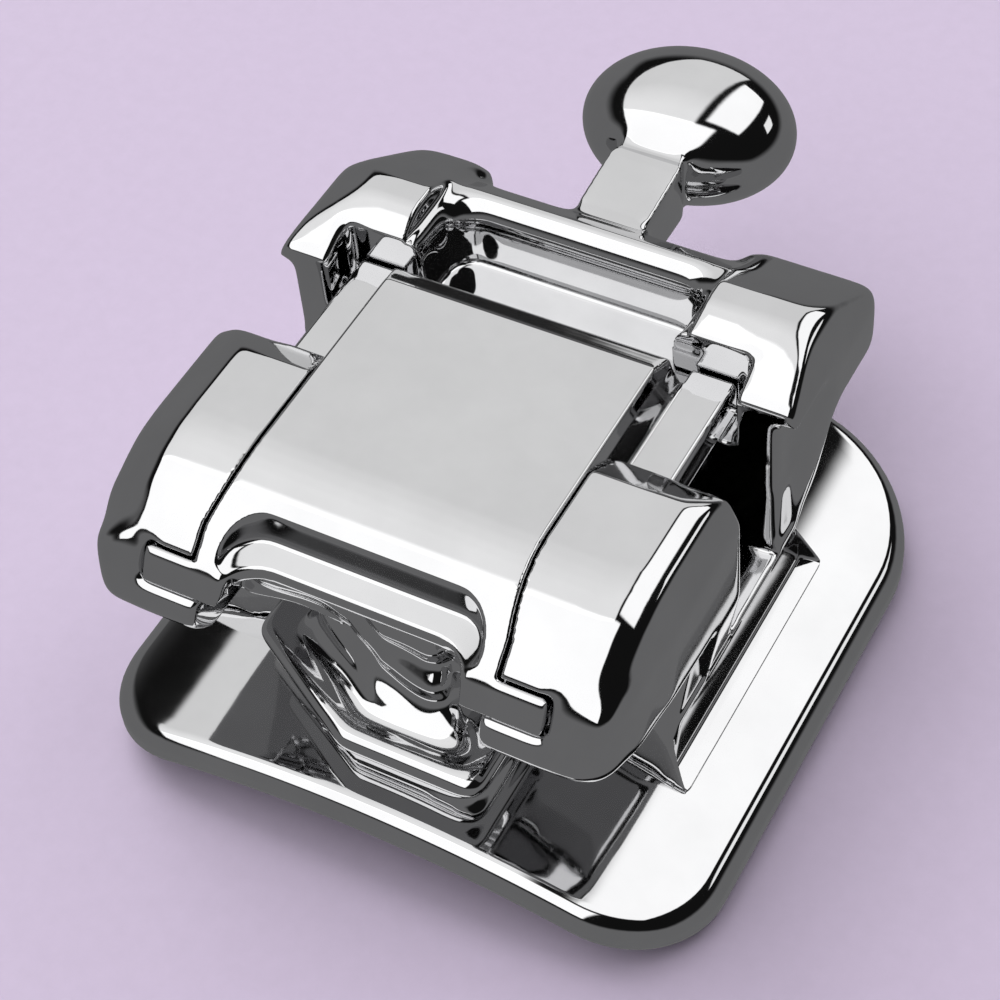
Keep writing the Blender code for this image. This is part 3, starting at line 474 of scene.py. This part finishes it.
class WeaveTree:
    """Builds the Geometry Nodes tree that weaves, bends and trims the retention mesh."""

    SIZES = ("Width", "Depth", "Pitch", "Wire", "Corner", "Tooth Radius", "Top")

    def __init__(self):
        self.tree = bpy.data.node_groups.new("woven_retention_mesh", "GeometryNodeTree")
        sides = self.tree.interface
        for name in self.SIZES:
            sides.new_socket(name, in_out="INPUT", socket_type="NodeSocketFloat")
        sides.new_socket("Steel", in_out="INPUT", socket_type="NodeSocketMaterial")
        sides.new_socket("Geometry", in_out="OUTPUT", socket_type="NodeSocketGeometry")
        self.start = self.add("NodeGroupInput").outputs

    def add(self, kind, values=None, **settings):
        return add_node(self.tree, kind, values, **settings)

    def sum(self, operation, a, b=0.0, c=0.0):
        return self.add("ShaderNodeMath", {0: a, 1: b, 2: c}, operation=operation).outputs[0]

    def wires(self, along, across, length_in, spread_in, flip):
        """One set of wires that run along an axis and step across the other."""
        pitch = self.start["Pitch"]
        count = self.sum("FLOOR", self.sum("DIVIDE", spread_in, pitch))
        points = self.sum("MULTIPLY_ADD", self.sum("DIVIDE", length_in, pitch), 12.0, 1.0)
        step = self.add("ShaderNodeCombineXYZ", {across: pitch}).outputs[0]
        first = self.sum("MULTIPLY", self.sum("SUBTRACT", count, 0.0), self.sum("MULTIPLY", pitch, -0.5))
        begin = self.add("ShaderNodeCombineXYZ", {across: first}).outputs[0]
        row = self.add(
            "GeometryNodeMeshLine",
            {"Count": self.sum("ADD", count, 1.0), "Start Location": begin, "Offset": step},
            mode="OFFSET",
        )
        half = self.sum("MULTIPLY", length_in, 0.5)
        low = self.add("ShaderNodeCombineXYZ", {along: self.sum("MULTIPLY", half, -1.0)}).outputs[0]
        high = self.add("ShaderNodeCombineXYZ", {along: half}).outputs[0]
        line = self.add("GeometryNodeCurvePrimitiveLine", {"Start": low, "End": high})
        dense = self.add("GeometryNodeResampleCurve", {"Curve": line.outputs[0], "Count": points})
        copies = self.add("GeometryNodeInstanceOnPoints", {"Points": row.outputs[0], "Instance": dense.outputs[0]})
        real = self.add("GeometryNodeRealizeInstances", {"Geometry": copies.outputs[0]})
        place_of = self.add("ShaderNodeSeparateXYZ", {0: self.add("GeometryNodeInputPosition").outputs[0]}).outputs
        turn = self.sum("DIVIDE", math.pi, pitch)
        wave = self.sum("COSINE", self.sum("MULTIPLY", place_of[along], turn))
        parity = self.sum("COSINE", self.sum("MULTIPLY", self.sum("SUBTRACT", place_of[across], first), turn))
        height = self.sum("MULTIPLY", self.sum("MULTIPLY", wave, parity), self.sum("MULTIPLY", self.start["Wire"], 0.42 * flip))
        lift = self.add("ShaderNodeCombineXYZ", {"Z": height}).outputs[0]
        return self.add("GeometryNodeSetPosition", {"Geometry": real.outputs[0], "Offset": lift}).outputs[0]

    def build(self):
        first = self.wires("X", "Y", self.start["Width"], self.start["Depth"], 1)
        second = self.wires("Y", "X", self.start["Depth"], self.start["Width"], -1)
        both = self.add("GeometryNodeJoinGeometry")
        self.tree.links.new(first, both.inputs[0])
        self.tree.links.new(second, both.inputs[0])
        place_of = self.add("ShaderNodeSeparateXYZ", {0: self.add("GeometryNodeInputPosition").outputs[0]}).outputs
        corner = self.start["Corner"]
        beyond = []
        for axis, size in (("X", "Width"), ("Y", "Depth")):
            inner = self.sum("SUBTRACT", self.sum("MULTIPLY", self.start[size], 0.5), corner)
            past = self.sum("SUBTRACT", self.sum("ABSOLUTE", place_of[axis]), inner)
            beyond.append(self.sum("MAXIMUM", past, 0.0))
        squared = self.sum("ADD", self.sum("MULTIPLY", beyond[0], beyond[0]), self.sum("MULTIPLY", beyond[1], beyond[1]))
        outside = self.add("FunctionNodeCompare", {"A": self.sum("SQRT", squared), "B": corner}, operation="GREATER_THAN")
        kept = self.add(
            "GeometryNodeDeleteGeometry", {"Geometry": both.outputs[0], "Selection": outside.outputs[0]}, domain="POINT"
        )
        radius = self.start["Tooth Radius"]
        drop = self.sum("SQRT", self.sum("SUBTRACT", self.sum("MULTIPLY", radius, radius), self.sum("MULTIPLY", place_of["X"], place_of["X"])))
        rise = self.sum("ADD", self.sum("SUBTRACT", drop, radius), self.start["Top"])
        bend = self.add("ShaderNodeCombineXYZ", {"Z": rise}).outputs[0]
        bent = self.add("GeometryNodeSetPosition", {"Geometry": kept.outputs[0], "Offset": bend})
        profile = self.add(
            "GeometryNodeCurvePrimitiveCircle", {"Resolution": 8, "Radius": self.sum("MULTIPLY", self.start["Wire"], 0.5)}
        )
        solid = self.add(
            "GeometryNodeCurveToMesh", {"Curve": bent.outputs[0], "Profile Curve": profile.outputs[0], "Fill Caps": True}
        )
        real = self.add("GeometryNodeRealizeInstances", {"Geometry": solid.outputs[0]})
        done = self.add("GeometryNodeSetMaterial", {"Geometry": real.outputs[0], "Material": self.start["Steel"]})
        self.add("NodeGroupOutput", {"Geometry": done.outputs[0]})
        return self.tree


class BRACKET_OT_weave_mesh(bpy.types.Operator):
    """Weave the retention mesh under the pad"""

    bl_idname = "bracket.weave_mesh"
    bl_label = "Weave the mesh"

    def execute(self, context):
        pad, weave = context.scene.bracket_pad, context.scene.bracket_mesh
        # Plain drawn wire, brazed on: grey and satin, so it grips the adhesive
        finish = steel_finish("drawn_stainless_wire", weave.steel, 0.30, 0.0004 * MM, 0.00005 * MM)
        tree = WeaveTree().build()
        holder = bpy.data.objects.new("weave", bpy.data.meshes.new("weave"))
        context.scene.collection.objects.link(holder)
        step = holder.modifiers.new("weave", "NODES")
        step.node_group = tree
        values = {
            "Width": MESH_HIGH.x - MESH_LOW.x - weave.wire,
            "Depth": MESH_HIGH.y - MESH_LOW.y - weave.wire,
            "Pitch": weave.pitch,
            "Wire": weave.wire,
            "Corner": pad.back_radius - weave.edge_gap,
            "Tooth Radius": pad.tooth_radius,
            "Top": MESH_HIGH.z - 0.92 * weave.wire,
            "Steel": finish,
        }
        for item in tree.interface.items_tree:
            if item.in_out == "INPUT":
                step[item.identifier] = values[item.name]
        context.view_layer.update()
        mesh = bpy.data.meshes.new_from_object(holder.evaluated_get(context.evaluated_depsgraph_get()))
        bpy.data.objects.remove(holder)
        if not mesh.polygons:
            raise RuntimeError("the weave came out empty")
        middle = (MESH_LOW + MESH_HIGH) / 2
        mesh.transform(Matrix.Translation((middle.x, middle.y, 0)))
        mesh.name = "woven_mesh"
        mesh.shade_smooth()
        place("woven_mesh", mesh, "bracket", "retention_mesh", finish)
        return {"FINISHED"}


class SkyTree:
    """A dark room with softboxes overhead, drawn by direction on a ceiling plane at height 1."""

    # Left, right, near and far edges on the ceiling, then the strength at the near and the far edge
    BOXES = (
        (-1.32, 0.00, -0.17, 3.60, 1.03, 0.82),
        (-1.30, 0.30, -1.50, -0.15, 1.36, 1.36),
        (0.105, 0.70, -0.02, 1.90, 1.30, 1.30),
        (1.12, 1.66, 0.85, 1.55, 1.10, 1.10),
    )

    def __init__(self, world):
        world.use_nodes = True
        self.tree = world.node_tree
        self.tree.nodes.clear()

    def add(self, kind, values=None, **settings):
        return add_node(self.tree, kind, values, **settings)

    def math(self, operation, a, b=0.0):
        return self.add("ShaderNodeMath", {0: a, 1: b}, operation=operation).outputs[0]

    def ramp(self, value, low, high, out_low=0.0, out_high=1.0, smooth=True):
        kind = "SMOOTHSTEP" if smooth else "LINEAR"
        values = {"Value": value, "From Min": low, "From Max": high, "To Min": out_low, "To Max": out_high}
        return self.add("ShaderNodeMapRange", values, interpolation_type=kind).outputs["Result"]

    def build(self, surroundings):
        way = self.add("ShaderNodeSeparateXYZ", {0: self.add("ShaderNodeTexCoord").outputs["Generated"]}).outputs
        rise = self.math("MAXIMUM", way["Z"], 0.05)
        across, along = self.math("DIVIDE", way["X"], rise), self.math("DIVIDE", way["Y"], rise)
        soft = 0.03
        total = None
        for left, right, near, far, near_light, far_light in self.BOXES:
            inside = self.ramp(across, left - soft, left + soft)
            for value, low, high in ((across, right + soft, right - soft), (along, near - soft, near + soft), (along, far + soft, far - soft)):
                edge = self.ramp(value, low, high) if low < high else self.ramp(self.math("MULTIPLY", value, -1.0), -low, -high)
                inside = self.math("MULTIPLY", inside, edge)
            light = self.ramp(along, 0.05, 0.62, near_light, far_light, smooth=False)
            glow = self.math("MULTIPLY", inside, light)
            total = glow if total is None else self.math("ADD", total, glow)
        above = self.ramp(way["Z"], 0.10, 0.24)
        lit = self.math("MULTIPLY", total, above)
        # The room is dark grey low down, and higher up in front and on the left
        front = self.ramp(self.math("MULTIPLY", way["Y"], -1.0), 0.2, 0.8, 0.0, 0.22)
        left = self.ramp(self.math("MULTIPLY", way["X"], -1.0), 0.6, 0.78, 0.0, 0.19)
        height = self.math("SUBTRACT", self.math("SUBTRACT", way["Z"], front), left)
        below = self.ramp(self.math("MULTIPLY", height, -1.0), -0.28, -0.08)
        room = self.add(
            "ShaderNodeMix", {"Factor": below, "A": (0.007, 0.007, 0.007, 1), "B": (*surroundings, 1)}, data_type="RGBA"
        )
        boxes = self.add("ShaderNodeBackground", {"Color": (1, 1, 1, 1), "Strength": lit})
        walls = self.add("ShaderNodeBackground", {"Color": room.outputs["Result"], "Strength": 1.0})
        both = self.add("ShaderNodeAddShader", {0: boxes.outputs[0], 1: walls.outputs[0]})
        self.add("ShaderNodeOutputWorld", {"Surface": both.outputs[0]})


class BRACKET_OT_set_stage(bpy.types.Operator):
    """Set the camera, the softboxes and the paper floor"""

    bl_idname = "bracket.set_stage"
    bl_label = "Set the stage"

    def execute(self, context):
        studio = context.scene.bracket_studio
        self.camera(context, studio)
        world = bpy.data.worlds.new("studio")
        context.scene.world = world
        SkyTree(world).build(studio.surroundings)
        self.floor(context, studio)
        self.key_light(context)
        context.scene.view_settings.view_transform = "Standard"
        return {"FINISHED"}

    def camera(self, context, studio):
        a, e, r = studio.azimuth, studio.elevation, studio.roll
        back = Vector((math.sin(a) * math.cos(e), -math.cos(a) * math.cos(e), math.sin(e)))
        level = Vector((math.cos(a), math.sin(a), 0))
        rise = back.cross(level)
        right = math.cos(r) * level + math.sin(r) * rise
        up = -math.sin(r) * level + math.cos(r) * rise
        zero = Vector((DRAWN.x, DRAWN.y, studio.turn_height))
        data = bpy.data.cameras.new("photo_camera")
        data.angle = studio.field
        data.clip_start, data.clip_end = 0.5 * MM, 2.0
        camera = bpy.data.objects.new("photo_camera", data)
        context.scene.collection.objects.link(camera)
        turn = Matrix((right, up, back)).transposed().to_4x4()
        eye = zero + right * studio.aim_right + up * studio.aim_up + back * studio.distance
        camera.matrix_world = Matrix.Translation(eye) @ turn
        context.scene.camera = camera

    def floor(self, context, studio):
        bm = bmesh.new()
        bmesh.ops.create_grid(bm, x_segments=1, y_segments=1, size=200 * MM)
        mesh = bpy.data.meshes.new("paper_floor")
        bm.to_mesh(mesh)
        bm.free()
        paper = bpy.data.materials.new("matt_paper")
        paper.use_nodes = True
        tree = paper.node_tree
        shader = tree.nodes["Principled BSDF"]
        shader.inputs["Roughness"].default_value = 0.9
        shader.inputs["Specular IOR Level"].default_value = 0.1
        where = add_node(tree, "ShaderNodeTexCoord").outputs["Object"]
        # Paper fibre: felt marks about 0.1 mm across
        fibre = add_node(tree, "ShaderNodeTexNoise", {"Vector": where, "Scale": 9000, "Detail": 4, "Roughness": 0.65})
        tone = add_node(
            tree,
            "ShaderNodeMapRange",
            {"Value": fibre.outputs["Fac"], "From Min": 0.3, "From Max": 0.7, "To Min": 0.965, "To Max": 1.0},
        )
        shade = add_node(
            tree,
            "ShaderNodeMix",
            {"Factor": 1.0, "A": (*studio.paper, 1), "B": tone.outputs["Result"]},
            data_type="RGBA",
            blend_type="MULTIPLY",
        )
        tree.links.new(shade.outputs["Result"], shader.inputs["Base Color"])
        mesh.materials.append(paper)
        floor = bpy.data.objects.new("paper_floor", mesh)
        context.scene.collection.objects.link(floor)
        floor.visible_glossy = False

    def key_light(self, context):
        """A broad lamp for the paper and its shadow; the steel mirrors only the softboxes."""
        data = bpy.data.lights.new("key_softbox", "AREA")
        data.shape = "SQUARE"
        data.size = 60 * MM
        data.energy = 0.030
        lamp = bpy.data.objects.new("key_softbox", data)
        context.scene.collection.objects.link(lamp)
        lamp.location = (-48 * MM, 24 * MM, 66 * MM)
        lamp.rotation_mode = "QUATERNION"
        lamp.rotation_quaternion = Vector(lamp.location).to_track_quat("Z", "Y")
        lamp.visible_glossy = False
        lamp.visible_camera = False


OPERATORS = (
    BRACKET_OT_bend_pad,
    BRACKET_OT_weave_mesh,
    BRACKET_OT_polish_body,
    BRACKET_OT_polish_door,
    BRACKET_OT_finish_spring,
    BRACKET_OT_set_stage,
)


class BRACKET_PT_panel(bpy.types.Panel):
    """Sizes, finishes and steps of the bracket"""

    bl_label = "Orthodontic bracket"
    bl_space_type = "VIEW_3D"
    bl_region_type = "UI"
    bl_category = "Bracket"

    def draw(self, context):
        for name in SETTINGS:
            box = self.layout.box()
            group = getattr(context.scene, name)
            box.label(text=group.bl_rna.description)
            for prop in group.bl_rna.properties:
                if not prop.is_readonly and prop.identifier != "name":
                    box.prop(group, prop.identifier)
        for operator in OPERATORS:
            self.layout.operator(operator.bl_idname)


SETTINGS = {
    "bracket_polish": PolishSettings,
    "bracket_pad": PadSettings,
    "bracket_mesh": MeshSettings,
    "bracket_studio": StudioSettings,
}
CLASSES = (*SETTINGS.values(), *OPERATORS, BRACKET_PT_panel)


def register():
    for item in CLASSES:
        bpy.utils.register_class(item)
    for name, group in SETTINGS.items():
        setattr(bpy.types.Scene, name, bpy.props.PointerProperty(type=group))


def unregister():
    for name in SETTINGS:
        delattr(bpy.types.Scene, name)
    for item in reversed(CLASSES):
        bpy.utils.unregister_class(item)


def main():
    register()
    for operator in OPERATORS:
        group, name = operator.bl_idname.split(".")
        getattr(getattr(bpy.ops, group), name)()


if __name__ == "__main__":
    main()
